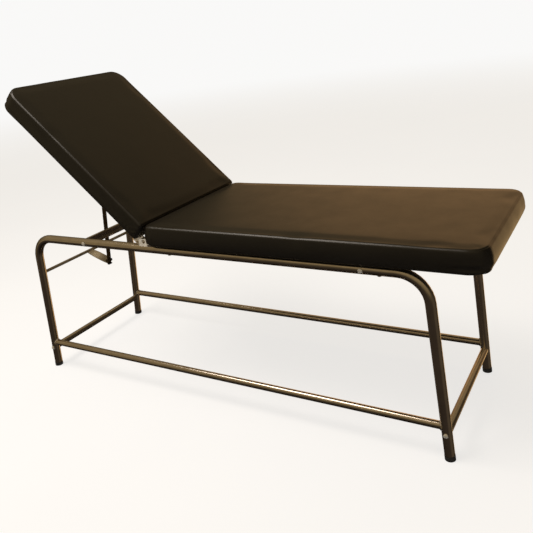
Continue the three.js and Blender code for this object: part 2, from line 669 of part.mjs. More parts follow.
const backrest = new THREE.Group();
backrest.position.set(HINGE.x, 0, HINGE.z);
backrest.rotation.y = THREE.MathUtils.degToRad(BACKREST_REST_ANGLE);
backrest.add(
  ...padPieces('backrest', backX0, backX1, backBottom, backBoardHoles()),
  mesh('backrest_arm_near', backrestArm(-1), zinc),
  mesh('backrest_arm_far', backrestArm(1), zinc),
  ...backScrewPlaces.map(([x, y], i) =>
    mesh(`backrest_screw_${i + 1}`, panScrew(x, y, flangeTop - PLATE_THICKNESS), zinc)),
  mesh('stay_clevis', stayClevis(), zinc),
  mesh('clevis_pin', clevisPin(), zinc),
);
couch.add(backrest);

const ratchet = new THREE.Group();
ratchet.position.set(clevisX, 0, -RATCHET_PIVOT.drop);
ratchet.rotation.y = THREE.MathUtils.degToRad(RATCHET_LEAN - BACKREST_REST_ANGLE);
ratchet.add(mesh('ratchet_bar', ratchetBar(), darkSteel));
backrest.add(ratchet);

export default couch;
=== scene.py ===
"""Looks of the two-section examination couch: upholstered pads, bright tube frame, studio."""

import json
import math

import bmesh
import bpy
import numpy as np
from mathutils import Matrix, Vector, noise


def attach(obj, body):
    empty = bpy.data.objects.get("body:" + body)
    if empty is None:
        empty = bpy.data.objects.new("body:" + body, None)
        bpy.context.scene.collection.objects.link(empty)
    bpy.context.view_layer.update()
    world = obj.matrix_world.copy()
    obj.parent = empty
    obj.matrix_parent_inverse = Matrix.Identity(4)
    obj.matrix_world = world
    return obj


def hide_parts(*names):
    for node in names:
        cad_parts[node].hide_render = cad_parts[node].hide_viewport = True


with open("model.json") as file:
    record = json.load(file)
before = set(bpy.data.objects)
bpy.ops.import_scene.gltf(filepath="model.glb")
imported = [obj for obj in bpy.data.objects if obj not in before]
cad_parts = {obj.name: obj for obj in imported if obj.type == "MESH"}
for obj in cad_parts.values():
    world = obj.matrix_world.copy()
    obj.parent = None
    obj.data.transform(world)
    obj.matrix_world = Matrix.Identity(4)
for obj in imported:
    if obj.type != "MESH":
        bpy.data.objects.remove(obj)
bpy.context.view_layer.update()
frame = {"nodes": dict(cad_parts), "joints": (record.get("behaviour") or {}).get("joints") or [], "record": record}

MM = 0.001
NODES = frame["nodes"]
RECORD = frame["record"]
BODY_OF = {node: body for body, members in RECORD["behaviour"]["bodies"].items() for node in members}
SLOT_OF = {part["node"]: part["material_slot"] for part in RECORD["subparts"]}

# ---------------------------------------------------------------- camera

CAMERA_PLACE = Vector((1.2049, -1.7699, 1.2672))
CAMERA_YAW = 0.5683                     # turned from +Y towards -X
CAMERA_PITCH = 0.3703                   # below the horizon
CAMERA_ROLL = -0.1254
CAMERA_LENS = 41.2                      # millimetres, on a 36 mm sensor


def add_camera():
    """A camera at the place above, turned by the three angles."""
    forward = Vector((
        -math.sin(CAMERA_YAW) * math.cos(CAMERA_PITCH),
        math.cos(CAMERA_YAW) * math.cos(CAMERA_PITCH),
        -math.sin(CAMERA_PITCH),
    ))
    level = Vector((math.cos(CAMERA_YAW), math.sin(CAMERA_YAW), 0))
    upright = level.cross(forward)
    right = math.cos(CAMERA_ROLL) * level + math.sin(CAMERA_ROLL) * upright
    up = math.cos(CAMERA_ROLL) * upright - math.sin(CAMERA_ROLL) * level
    data = bpy.data.cameras.new("camera")
    data.lens = CAMERA_LENS
    data.sensor_width = 36
    data.clip_end = 200
    camera = bpy.data.objects.new("camera", data)
    turn = Matrix((right, up, -forward)).transposed().to_4x4()
    camera.matrix_world = Matrix.Translation(CAMERA_PLACE) @ turn
    bpy.context.scene.collection.objects.link(camera)
    bpy.context.scene.camera = camera


add_camera()

# ---------------------------------------------------------------- material helpers


class Look:
    """A node material built up a few nodes at a time, in the object's own coordinates."""

    def __init__(self, name):
        self.material = bpy.data.materials.new(name)
        self.material.use_nodes = True
        self.nodes = self.material.node_tree.nodes
        self.links = self.material.node_tree.links
        self.shader = self.nodes["Principled BSDF"]
        self.place = self.nodes.new("ShaderNodeTexCoord").outputs["Object"]
        self.normal = None

    def set(self, **values):
        """Sets values that are the same all over the surface, on the shader's own sockets."""
        for name, value in values.items():
            self.shader.inputs[name.replace("_", " ")].default_value = value

    def stretched(self, scale):
        mapping = self.nodes.new("ShaderNodeMapping")
        mapping.inputs["Scale"].default_value = scale
        self.links.new(self.place, mapping.inputs["Vector"])
        return mapping.outputs["Vector"]

    def noise(self, scale, detail=4.0, roughness=0.55, place=None, distortion=0.0):
        node = self.nodes.new("ShaderNodeTexNoise")
        node.inputs["Scale"].default_value = scale
        node.inputs["Detail"].default_value = detail
        node.inputs["Roughness"].default_value = roughness
        node.inputs["Distortion"].default_value = distortion
        self.links.new(place or self.place, node.inputs["Vector"])
        return node.outputs["Fac"]

    def cells(self, scale, feature="F1"):
        node = self.nodes.new("ShaderNodeTexVoronoi")
        node.feature = feature
        node.inputs["Scale"].default_value = scale
        self.links.new(self.place, node.inputs["Vector"])
        return node.outputs["Distance"]

    def ramp(self, factor, *stops):
        """Colours, or plain values, between stops of (position, colour or value)."""
        node = self.nodes.new("ShaderNodeValToRGB")
        elements = node.color_ramp.elements
        while len(elements) < len(stops):
            elements.new(0.5)
        for element, (position, color) in zip(elements, stops):
            element.position = position
            element.color = (*color, 1) if isinstance(color, tuple) else (color, color, color, 1)
        self.links.new(factor, node.inputs["Fac"])
        return node.outputs["Color"]

    def mix(self, factor, first, second, blend="MIX"):
        node = self.nodes.new("ShaderNodeMix")
        node.data_type = "RGBA"
        node.blend_type = blend
        for socket, value in (("Factor", factor), ("A", first), ("B", second)):
            wanted = [s for s in node.inputs if s.name == socket and s.enabled][0]
            if isinstance(value, (int, float, tuple)):
                wanted.default_value = (*value, 1) if isinstance(value, tuple) else value
            else:
                self.links.new(value, wanted)
        return [s for s in node.outputs if s.enabled][0]

    def spread(self, factor, low, high):
        """A noise factor, which is mostly between 0.3 and 0.7, spread from low to high."""
        node = self.nodes.new("ShaderNodeMapRange")
        node.inputs["From Min"].default_value = 0.3
        node.inputs["From Max"].default_value = 0.7
        node.inputs["To Min"].default_value = low
        node.inputs["To Max"].default_value = high
        self.links.new(factor, node.inputs["Value"])
        return node.outputs["Result"]

    def feed(self, socket, source):
        self.links.new(source, self.shader.inputs[socket])

    def bump(self, height, depth, strength=1.0):
        """Adds a bump on top of the ones that the look has so far."""
        node = self.nodes.new("ShaderNodeBump")
        node.inputs["Distance"].default_value = depth
        node.inputs["Strength"].default_value = strength
        self.links.new(height, node.inputs["Height"])
        if self.normal:
            self.links.new(self.normal, node.inputs["Normal"])
        self.normal = node.outputs["Normal"]
        self.links.new(self.normal, self.shader.inputs["Normal"])


# ---------------------------------------------------------------- materials


def vinyl_look():
    look = Look("leathercloth")
    patches = look.ramp(look.noise(3.1, 3, 0.5),
                        (0.3, (0.0048, 0.0039, 0.0028)), (0.7, (0.0066, 0.0053, 0.0036)))
    dust = look.ramp(look.noise(52, 6, 0.72), (0.5, 0.0), (0.85, 0.12))
    look.feed("Base Color", look.mix(dust, patches, (0.030, 0.024, 0.017)))
    look.feed("Roughness", look.spread(look.noise(14, 5, 0.6), 0.32, 0.37))
    look.bump(look.noise(6, 2, 0.5), 0.6 * MM, 0.25)
    look.bump(look.cells(620), 0.12 * MM, 0.25)
    look.bump(look.noise(1500, 3, 0.6), 0.04 * MM, 0.3)
    return look.material


def tube_look():
    look = Look("bright_tube")
    haze = look.noise(26, 5, 0.65)
    look.feed("Base Color", look.ramp(haze,
                                      (0.25, (0.47, 0.415, 0.355)), (0.75, (0.61, 0.545, 0.47))))
    smudges = look.noise(75, 6, 0.7)
    look.feed("Roughness", look.ramp(smudges, (0.35, 0.16), (0.72, 0.22)))
    look.set(Metallic=1.0)
    look.bump(look.noise(16, 2, 0.5), 0.2 * MM, 0.15)
    look.bump(look.noise(900, 2, 0.5), 0.02 * MM, 0.12)
    return look.material


def strip_look(name, dark, light, roughness, metallic=1.0):
    look = Look(name)
    scale = look.noise(60, 6, 0.7)
    look.feed("Base Color", look.ramp(scale, (0.3, dark), (0.7, light)))
    look.feed("Roughness", look.spread(look.noise(140, 5, 0.7), roughness - 0.08, roughness + 0.1))
    look.set(Metallic=metallic)
    look.bump(look.noise(240, 5, 0.7), 0.06 * MM, 0.5)
    return look.material


def weld_look():
    look = Look("weld_metal")
    look.feed("Base Color", look.ramp(look.noise(260, 5, 0.7),
                                      (0.3, (0.30, 0.26, 0.21)), (0.7, (0.80, 0.77, 0.71))))
    look.feed("Roughness", look.spread(look.noise(320, 4, 0.6), 0.25, 0.5))
    look.set(Metallic=1.0)
    look.bump(look.noise(700, 4, 0.6), 0.2 * MM, 0.6)
    return look.material


def rubber_look():
    look = Look("black_rubber")
    scuffs = look.ramp(look.noise(120, 6, 0.75),
                       (0.5, (0.012, 0.012, 0.013)), (0.8, (0.05, 0.047, 0.043)))
    look.feed("Base Color", scuffs)
    look.feed("Roughness", look.spread(look.noise(200, 4, 0.6), 0.62, 0.85))
    look.bump(look.noise(1100, 3, 0.6), 0.08 * MM, 0.6)
    return look.material


def plywood_look():
    look = Look("plywood")
    along = look.stretched((3, 40, 40))
    grain = look.noise(3.0, 8, 0.65, place=along, distortion=0.8)
    streaks = look.ramp(
        grain,
        (0.28, (0.020, 0.012, 0.007)),
        (0.5, (0.040, 0.026, 0.015)),
        (0.72, (0.070, 0.047, 0.028)),
    )
    blotches = look.ramp(look.noise(5, 3, 0.5), (0.3, (0.78, 0.74, 0.70)), (0.7, (1.0, 1.0, 1.0)))
    look.feed("Base Color", look.mix(1.0, streaks, blotches, "MULTIPLY"))
    look.feed("Roughness", look.spread(grain, 0.62, 0.8))
    look.bump(grain, 0.15 * MM, 0.5)
    return look.material


VINYL = vinyl_look()
LOOKS = {
    "bright_tube": tube_look(),
    "stay_steel": strip_look("strip_steel", (0.23, 0.19, 0.125), (0.34, 0.285, 0.195), 0.60, 0.8),
    # painted shade: the ratchet bar's steel gets a near-black base colour that stands for the backrest's shadow
    # and the dark room it reflects
    "ratchet_steel": strip_look("ratchet_steel", (0.07, 0.055, 0.038), (0.15, 0.12, 0.085), 0.33),
    "bracket_zinc": strip_look("bracket_zinc", (0.76, 0.70, 0.60), (0.92, 0.86, 0.75), 0.42, 0.2),
    "fastener_zinc": strip_look("fastener_zinc", (0.58, 0.55, 0.48), (0.82, 0.79, 0.72), 0.30, 0.6),
    "foot_rubber": rubber_look(),
    "packer_rubber": rubber_look(),
    "pad_board": plywood_look(),
}
WELD = weld_look()
STAPLE = strip_look("staple_wire", (0.10, 0.09, 0.07), (0.22, 0.19, 0.15), 0.45, 0.8)

# ---------------------------------------------------------------- hard pieces

CREASE = math.radians(32)               # edges sharper than this stay sharp
EASE = 0.35 * MM                        # rounding of the edges of plates and strips
SAME_PLACE = 0.004 * MM                 # corners of triangles closer than this are one point
FLAT = math.radians(0.6)                # neighbouring triangles within this angle are one face
EASED_SLOTS = ("bracket_zinc", "stay_steel")


def add_piece(name, points, faces, material, body):
    """A smooth-shaded piece that moves with a body."""
    mesh = bpy.data.meshes.new(name)
    mesh.from_pydata([tuple(p) for p in points], [], [tuple(int(i) for i in f) for f in faces])
    mesh.materials.append(material)
    mesh.polygons.foreach_set("use_smooth", [True] * len(mesh.polygons))
    mesh.update()
    piece = bpy.data.objects.new(name, mesh)
    bpy.context.scene.collection.objects.link(piece)
    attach(piece, body)
    return piece


def weld_and_crease(mesh):
    """One smooth-shaded surface out of separate triangles, sharp only at real edges."""
    work = bmesh.new()
    work.from_mesh(mesh)
    bmesh.ops.remove_doubles(work, verts=work.verts, dist=SAME_PLACE)
    bmesh.ops.dissolve_limit(work, angle_limit=FLAT, verts=work.verts, edges=work.edges)
    for edge in work.edges:
        edge.smooth = len(edge.link_faces) == 2 and edge.calc_face_angle(0) < CREASE
    work.to_mesh(mesh)
    work.free()
    mesh.polygons.foreach_set("use_smooth", [True] * len(mesh.polygons))
    mesh.update()


def dress(node, material, eased):
    """The CAD node's own shape, smooth-shaded and with its sharp edges eased."""
    source = NODES[node].data
    piece = add_piece(f"{node}_finish", [v.co for v in source.vertices],
                      [p.vertices for p in source.polygons], material, BODY_OF[node])
    weld_and_crease(piece.data)
    if eased:
        bevel = piece.modifiers.new("eased_edges", "BEVEL")
        bevel.width = EASE
        bevel.segments = 2
        bevel.limit_method = "ANGLE"
        bevel.angle_limit = CREASE
        bevel.harden_normals = True
    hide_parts(node)


PAD_NODES = ("seat_cover", "seat_foam", "backrest_cover", "backrest_foam")
for node in sorted(NODES):
    if node in PAD_NODES:
        continue
    slot = SLOT_OF[node]
    dress(node, LOOKS[slot], eased=slot in EASED_SLOTS)

# ---------------------------------------------------------------- weld beads

BEAD_RADIUS = 2.3 * MM
BEAD_STEPS = 96
BEAD_SIDES = 8
THIN_BEAD_RADIUS = 1.5 * MM             # on the stay bar, which is much thinner
RIM_BAND = 0.2 * MM                     # depth in which points count as a tube's outer rim


def end_rim(node, axis, sign):
    """The outer rim of a tube node at one end, as points sorted round its axis."""
    points = np.array([v.co for v in NODES[node].data.vertices])
    middle = (points.min(0) + points.max(0)) / 2
    across = [i for i in range(3) if i != axis]
    offset = points[:, across] - middle[across]
    reach = np.hypot(*offset.T)
    keep = (reach > reach.max() - RIM_BAND) & (sign * (points[:, axis] - middle[axis]) > 0)
    angles = np.arctan2(offset[keep, 1], offset[keep, 0])
    order = np.argsort(angles)
    return angles[order], points[keep][order], middle, across


def bead_round(node, axis, sign, radius=BEAD_RADIUS):
    """A rippled weld bead round the end of a tube node."""
    angles, rim, middle, across = end_rim(node, axis, sign)
    tube_radius = np.hypot(*(rim[0, across] - middle[across]))
    turns = np.linspace(-math.pi, math.pi, BEAD_STEPS, endpoint=False)
    along = np.interp(turns, angles, rim[:, axis], period=2 * math.pi)
    points = []
    for turn, place in zip(turns, along):
        ripple = noise.noise(Vector((9 * math.cos(turn), 9 * math.sin(turn), 40 * place)))
        thick = radius * (1 + 0.22 * math.sin(26 * turn) + 0.5 * ripple)
        for side in range(BEAD_SIDES):
            angle = 2 * math.pi * side / BEAD_SIDES
            reach = tube_radius + thick * math.cos(angle)
            point = np.zeros(3)
            point[axis] = place + thick * math.sin(angle) - sign * 0.4 * radius
            point[across[0]] = middle[across[0]] + reach * math.cos(turn)
            point[across[1]] = middle[across[1]] + reach * math.sin(turn)
            points.append(point)
    faces = []
    for i in range(BEAD_STEPS):
        for j in range(BEAD_SIDES):
            a, b = i * BEAD_SIDES + j, i * BEAD_SIDES + (j + 1) % BEAD_SIDES
            c, d = (((i + 1) % BEAD_STEPS) * BEAD_SIDES + k for k in ((j + 1) % BEAD_SIDES, j))
            faces.append((a, b, c, d))
    return points, faces


def add_beads(name, ends, body):
    """Weld beads round several tube ends, as one piece."""
    points, faces = [], []
    for end in ends:
        bead_points, bead_faces = bead_round(*end)
        faces += [tuple(i + len(points) for i in face) for face in bead_faces]
        points += bead_points
    piece = add_piece(name, points, faces, WELD, body)


ALONG_X, ALONG_Y = 0, 1
for place in ("near", "far"):
    add_beads(f"weld_beads_long_stretcher_{place}",
              [(f"long_stretcher_{place}", ALONG_X, sign) for sign in (-1, 1)], "frame")
add_beads("weld_beads_stay_bar",
          [("stay_bar", ALONG_Y, sign, THIN_BEAD_RADIUS) for sign in (-1, 1)], "frame")

# ---------------------------------------------------------------- pads

# A pad is shaped lying flat, and then turned to where it stands in the frame.
HINGE = next(joint for joint in frame["joints"] if joint["name"] == "backrest_hinge")
HINGE_PLACE = Vector(HINGE["pos_m"])
BACKREST_ANGLE = -math.radians(HINGE["range_deg"][0])
SEAT_TO_ROW = Matrix.Identity(4)
BACKREST_TO_ROW = (Matrix.Translation(HINGE_PLACE)
                   @ Matrix.Rotation(BACKREST_ANGLE, 4, "Y")
                   @ Matrix.Translation(-HINGE_PLACE))

FREE_CORNER = 56 * MM                   # plan rounding at the free end of a pad
TOP_EDGE = 8 * MM                       # rounding of the top edges, where the cover is sewn
FREE_BOTTOM_EDGE = 8 * MM               # rounding of the bottom edge at the free end
SIDE_BOTTOM_EDGE = 9 * MM               # the same along the sides
SIDE_EASE = 0.2 * MM                    # how far the unswollen pad stays inside its CAD box
CROWN_EASE = 1.5 * MM                   # the same at the top, which swells most
SIDE_BELLY = 3.5 * MM                   # how far the middle of a long side stands out
HINGE_BELLY = 7 * MM                    # the same at the hinge end; at 9 mm the backrest cuts its brackets
TOP_PULL = 3.0 * MM                     # how far the sewn top edge is pulled in
PULL_REACH = 45 * MM                    # how far over the top this pull fades out
HEM = 44 * MM                           # cover turned under the board
HEM_THICKNESS = 2.2 * MM
BOARD_BAND = 14 * MM                    # height backed by the board, where the cover can't move
SWELL_CELL = 9 * MM                     # mesh size of the cloth
SKIN_CELL = 7 * MM                      # mesh size of the finished pad
UPRIGHT_CELL = 5 * MM                   # the same up its sides
EDGE_LINES = np.array([1.5, 3.2, 5.5, 8.0]) * MM                # closer mesh lines by the edges
HEM_LINES = np.concatenate([EDGE_LINES, [11 * MM, 14 * MM, 17 * MM, 25 * MM, 34 * MM,
                                         HEM, HEM + 1.5 * MM]])
TOUCHING = 1e-6                         # metres; points closer than this are on the same face
SWELL_FRAMES = 20
SWELL_OUT = 3.0 * MM                    # the cover stretches out this far at most
SWELL_IN = 0.5 * MM                     # and the foam stops it this far in
SWELL_ALONG = 0.6 * MM                  # how far it may creep along the surface
EVENING = 3                             # rounds of blending that take out single pinches
CLOTH_SETTINGS = {
    "quality": 5,
    "mass": 0.35,
    "tension_stiffness": 30,
    "compression_stiffness": 30,
    "shear_stiffness": 12,
    "bending_stiffness": 1.5,
    "air_damping": 2,
    "use_pressure": True,
    "uniform_pressure_force": 4,
}


def lattice_lines(length, cell, close=()):
    """Lines across a length: close ones by both ends, then even cells between them."""
    first = close[-1] if len(close) else 0.0
    count = max(1, round((length - 2 * first) / cell))
    inner = np.linspace(first, length - first, count + 1)
    return np.unique(np.concatenate([[0.0], close, inner, length - np.array(close), [length]]).round(7))


def block_skin(lines):
    """Lattice indices of the points on a block's outside, and the quads between them."""
    size = [len(line) for line in lines]
    outside = np.zeros(size, bool)
    for axis in range(3):
        np.moveaxis(outside, axis, 0)[[0, -1]] = True
    where = np.argwhere(outside)
    index = np.zeros(size, int)
    index[tuple(where.T)] = np.arange(len(where))
    quads = []
    for axis in range(3):
        for end in (0, -1):
            sheet = np.take(index, end, axis=axis)
            corners = [sheet[:-1, :-1], sheet[1:, :-1], sheet[1:, 1:], sheet[:-1, 1:]]
            quad = np.stack(corners, -1).reshape(-1, 4)
            backwards = (end == 0) != (axis == 1)
            quads.append(quad[:, ::-1] if backwards else quad)
    return where, np.concatenate(quads)


def inward(points, low, high):
    """Distance from a block's nearer end face, and from its nearer side face."""
    from_ends = np.minimum(points[:, 0] - low[0], high[0] - points[:, 0])
    from_sides = np.minimum(points[:, 1] - low[1], high[1] - points[:, 1])
    return from_ends, from_sides


def belly(height, out):
    """How far a side stands out, from its bottom (0) to its top edge (1)."""
    return out * np.sin(math.pi * height ** 0.75) - TOP_PULL * height ** 3


def round_block(points, low, high, corners, bottom_edges, end_bellies):
    """Moves points on a block's skin on to a pad with rounded edges, corners and bulging sides."""
    from_ends, from_sides = inward(points, low, high)
    middle = (low + high) / 2
    at_low_end = points[:, 0] < middle[0]
    radius, end_edge, end_out = (np.where(at_low_end, *pair)
                                 for pair in (corners, bottom_edges, end_bellies))
    toward = np.where(points[:, :2] < middle[:2], -1.0, 1.0)
    u, v = radius - from_ends, radius - from_sides
    in_corner = (u > 0) & (v > 0)
    length = np.maximum(np.hypot(u, v), 1e-9)
    endwise = np.where(in_corner, (u / length) ** 2, from_ends <= from_sides)
    depth = np.minimum(from_ends, from_sides)
    new_depth = depth.copy()
    new_z = points[:, 2].copy()
    bottom_edge = SIDE_BOTTOM_EDGE + endwise * (end_edge - SIDE_BOTTOM_EDGE)
    for limit, sign, edge in ((high[2], -1, TOP_EDGE), (low[2], 1, bottom_edge)):
        rise = sign * (points[:, 2] - limit)
        near = (depth < edge) & (rise < edge)
        inset = 1 - depth / edge
        offset = 1 - rise / edge
        from_arc_centre = np.maximum(np.hypot(inset, offset), 1e-9)
        new_depth = np.where(near, edge * (1 - inset / from_arc_centre), new_depth)
        new_z = np.where(near, limit + sign * edge * (1 - offset / from_arc_centre), new_z)
    height = ((new_z - low[2]) / (high[2] - low[2])).clip(0, 1)
    fade = (1 - depth / PULL_REACH).clip(0, 1) ** 2
    new_depth -= fade * belly(height, SIDE_BELLY + endwise * (end_out - SIDE_BELLY))
    shell = radius - new_depth
    new_from_ends = np.where(in_corner, radius - u / length * shell,
                             np.where(from_ends <= from_sides, new_depth, from_ends))
    new_from_sides = np.where(in_corner, radius - v / length * shell,
                              np.where(from_sides < from_ends, new_depth, from_sides))
    half = (high - low)[:2] / 2
    x = middle[0] + toward[:, 0] * (half[0] - new_from_ends)
    y = middle[1] + toward[:, 1] * (half[1] - new_from_sides)
    return np.stack([x, y, new_z], 1)


def evened(values, quads):
    """Values blended with those of their neighbours."""
    for _ in range(EVENING):
        means = values[quads].mean(1)
        total = np.zeros_like(values)
        count = np.zeros((len(values), 1))
        for i in range(4):
            np.add.at(total, quads[:, i], means)
            np.add.at(count, quads[:, i], 1)
        values = total / count
    return values


def swell(points, quads, held):
    """Blows the pad up a little as cloth over foam, and returns how far each point moved."""
    mesh = bpy.data.meshes.new("swelling")
    mesh.from_pydata(points.tolist(), [], quads.tolist())
    work = bpy.data.objects.new("swelling", mesh)
    bpy.context.scene.collection.objects.link(work)
    pins = work.vertex_groups.new(name="held")
    pins.add([int(i) for i in np.flatnonzero(held)], 1.0, "REPLACE")
    cloth = work.modifiers.new("cloth", "CLOTH")
    for setting, value in CLOTH_SETTINGS.items():
        setattr(cloth.settings, setting, value)
    cloth.settings.effector_weights.gravity = 0
    cloth.settings.vertex_group_mass = "held"
    cloth.point_cache.frame_start = 1
    cloth.point_cache.frame_end = SWELL_FRAMES
    for step in range(1, SWELL_FRAMES + 1):
        bpy.context.scene.frame_set(step)
    blown = work.evaluated_get(bpy.context.evaluated_depsgraph_get())
    moved = np.array([v.co for v in blown.data.vertices]) - points
    bpy.data.objects.remove(work)
    bpy.data.meshes.remove(mesh)
    bpy.context.scene.frame_set(1)
    normals = point_normals(points, quads)
    out = np.sum(moved * normals, 1)[:, None]
    along = moved - out * normals
    reach = np.maximum(np.linalg.norm(along, axis=1), 1e-9)[:, None]
    capped = normals * out.clip(-SWELL_IN, SWELL_OUT) + along * np.minimum(1, SWELL_ALONG / reach)
    return evened(capped, quads)


def read_lattice(field, lines, points):
    """Values of a lattice field at points, blended from the eight lattice corners round each."""
    low, part = [], []
    for axis, line in enumerate(lines):
        cell = np.clip(np.searchsorted(line, points[:, axis], side="right") - 1, 0, len(line) - 2)
        low.append(cell)
        part.append(((points[:, axis] - line[cell]) / (line[cell + 1] - line[cell])).clip(0, 1))
    total = np.zeros((len(points), 3))
    for corner in np.ndindex(2, 2, 2):
        weight = np.prod([part[a] if corner[a] else 1 - part[a] for a in range(3)], axis=0)
        total += weight[:, None] * field[tuple(low[a] + corner[a] for a in range(3))]
    return total


def point_normals(points, quads):
    """The unit normal at each point, averaged over the quads round it."""
    a, b, c, d = (points[quads[:, i]] for i in range(4))
    face = np.cross(c - a, d - b)
    normals = np.zeros_like(points)
    for i in range(4):
        np.add.at(normals, quads[:, i], face)
    return normals / np.maximum(np.linalg.norm(normals, axis=1), 1e-12)[:, None]


def noise_at(points, scale, seed):
    """Smooth noise at each point, with its own shift for each seed."""
    shift = Vector((seed * 7.3, seed * 3.1, seed * 5.7))
    return np.array([noise.noise(Vector(p) * scale + shift) for p in points])


END_REACH = 30 * MM                     # the seam and its puckers are deeper this close to an end
SEAM_DEPTH = (0.15, 0.7)                # millimetres: everywhere, and more at the ends
SEAM_WIDTH = 1.8 * MM
ROLL_HEIGHT = 0.3 * MM                  # the cover stands up a little beside an end's seam
ROLL_PLACE = 4.5 * MM
ROLL_WIDTH = 2.6 * MM
PUCKER_DEPTH = (0.08, 0.22)             # millimetres: everywhere, and more at the ends
PUCKER_REACH = 14 * MM
SEAM_GAP = 0.5 * MM                     # no puckers on the seam itself
SLACK_DEPTH = 1.1 * MM
FINE_SLACK_DEPTH = 0.25 * MM
SLACK_REACH = 30 * MM                   # the slack is full this far from a seam
BOARD_SLACK = 0.3                       # share of the slack that is left over the board
ARC_DEPTH = 1.0 * MM                    # creases in the sides, round the bottom corner at the hinge
ARC_HEIGHT = 10 * MM
ARC_TURNS = 360                         # radians of crease per metre
ARC_REACH = 46 * MM
FOLD_DEPTH = 3.4 * MM                   # folds round the free corners
FOLD_SPACING = 22 * MM
FOLD_REACH = 2.2 * FREE_CORNER
FOLD_HEIGHT = 40 * MM
FOLD_WANDER = 7 * MM
FOLD_CLIMB = 0.12


def corner_folds(points, from_ends, from_sides, above_bottom, seed):
    """Long flat folds round the free corners, where the cover is pulled under the board."""
    by_corner = np.clip(1 - (from_ends + from_sides) / FOLD_REACH, 0, 1)
    fade = by_corner * np.clip(1 - above_bottom / FOLD_HEIGHT, 0, 1)
    height = above_bottom + FOLD_WANDER * noise_at(points, 9, seed) + FOLD_CLIMB * from_sides
    return FOLD_DEPTH * fade * np.sin(height * 2 * math.pi / FOLD_SPACING)


def sewn_detail(block_points, points, low, high, free_sign, seed):
    """How far the cover stands proud at each point: seam, puckers, slack, folds and hinge arcs."""
    from_ends, from_sides = inward(block_points, low, high)
    depth = np.minimum(from_ends, from_sides)
    below_top = high[2] - block_points[:, 2]
    above_bottom = block_points[:, 2] - low[2]
    from_seam = np.maximum(depth, below_top)
    endwise = np.clip(1 - from_ends / END_REACH, 0, 1)
    seam_depth = (SEAM_DEPTH[0] + SEAM_DEPTH[1] * endwise) * MM
    seam = -seam_depth * np.exp(-(from_seam / SEAM_WIDTH) ** 2)
    roll = ROLL_HEIGHT * endwise * np.exp(-((from_seam - ROLL_PLACE) / ROLL_WIDTH) ** 2)
    pucker_depth = (PUCKER_DEPTH[0] + PUCKER_DEPTH[1] * endwise) * MM
    by_seam = np.exp(-from_seam / PUCKER_REACH)
    pucker = pucker_depth * by_seam * noise_at(points, 26, seed) * (from_seam > SEAM_GAP)
    slack = (SLACK_DEPTH * noise_at(points, 3.6, seed + 1)
             + FINE_SLACK_DEPTH * noise_at(points, 11, seed + 2))
    slack = slack * np.clip(from_seam / SLACK_REACH, 0, 1)
    slack = np.where(above_bottom < BOARD_BAND, BOARD_SLACK * slack, slack)
    hinge_from = (block_points[:, 0] - low[0]) if free_sign > 0 else (high[0] - block_points[:, 0])
    at_free_end = hinge_from > (high[0] - low[0]) / 2
    on_upright_face = depth < TOUCHING
    on_long_side = from_sides < TOUCHING
    folds = corner_folds(points, from_ends, from_sides, above_bottom, seed + 3)
    folds = folds * at_free_end * on_upright_face
    ring = np.hypot(hinge_from, above_bottom - ARC_HEIGHT)
    arcs = ARC_DEPTH * np.sin(ring * ARC_TURNS) * np.exp(-(ring / ARC_REACH) ** 2) * on_long_side
    return seam + roll + pucker + slack + folds + arcs


STAPLE_SPACING = 27 * MM
STAPLE_DEPTH = 38 * MM                  # from the pad's side, on the flat of the hem
STAPLE_HALF = 5.5 * MM
STAPLE_WIRE = 0.55 * MM
STAPLE_SIDES = 6
# A staple's four bends: place along it, in half lengths, and millimetres out of the hem.
STAPLE_BENDS = ((-1.0, -0.9), (-0.86, 0.35), (0.86, 0.35), (1.0, -0.9))
STAPLE_SKEW = 0.16                      # how crooked a staple may sit


def hem_stations(low, high, corners):
    """Evenly spaced places round the hem, with the way the hem runs at each."""
    outline = []
    for x, y, radius, start in ((high[0], high[1], corners[1], 0), (low[0], high[1], corners[0], 1),
                                (low[0], low[1], corners[0], 2), (high[0], low[1], corners[1], 3)):
        sign_x, sign_y = (1 if x == high[0] else -1), (1 if y == high[1] else -1)
        bend = max(radius - STAPLE_DEPTH, 2 * MM)
        centre = np.array([x - sign_x * (STAPLE_DEPTH + bend), y - sign_y * (STAPLE_DEPTH + bend)])
        for angle in np.linspace(start, start + 1, 10) * math.pi / 2:
            outline.append(centre + bend * np.array([math.cos(angle), math.sin(angle)]))
    outline = np.array(outline + outline[:1])
    lengths = np.concatenate([[0], np.cumsum(np.linalg.norm(np.diff(outline, axis=0), axis=1))])
    count = round(lengths[-1] / STAPLE_SPACING)
    for station in np.arange(count) * lengths[-1] / count:
        here, ahead = (np.array([np.interp(station + step, lengths, outline[:, a]) for a in (0, 1)])
                       for step in (0, 1 * MM))
        yield here, (ahead - here) / np.linalg.norm(ahead - here)


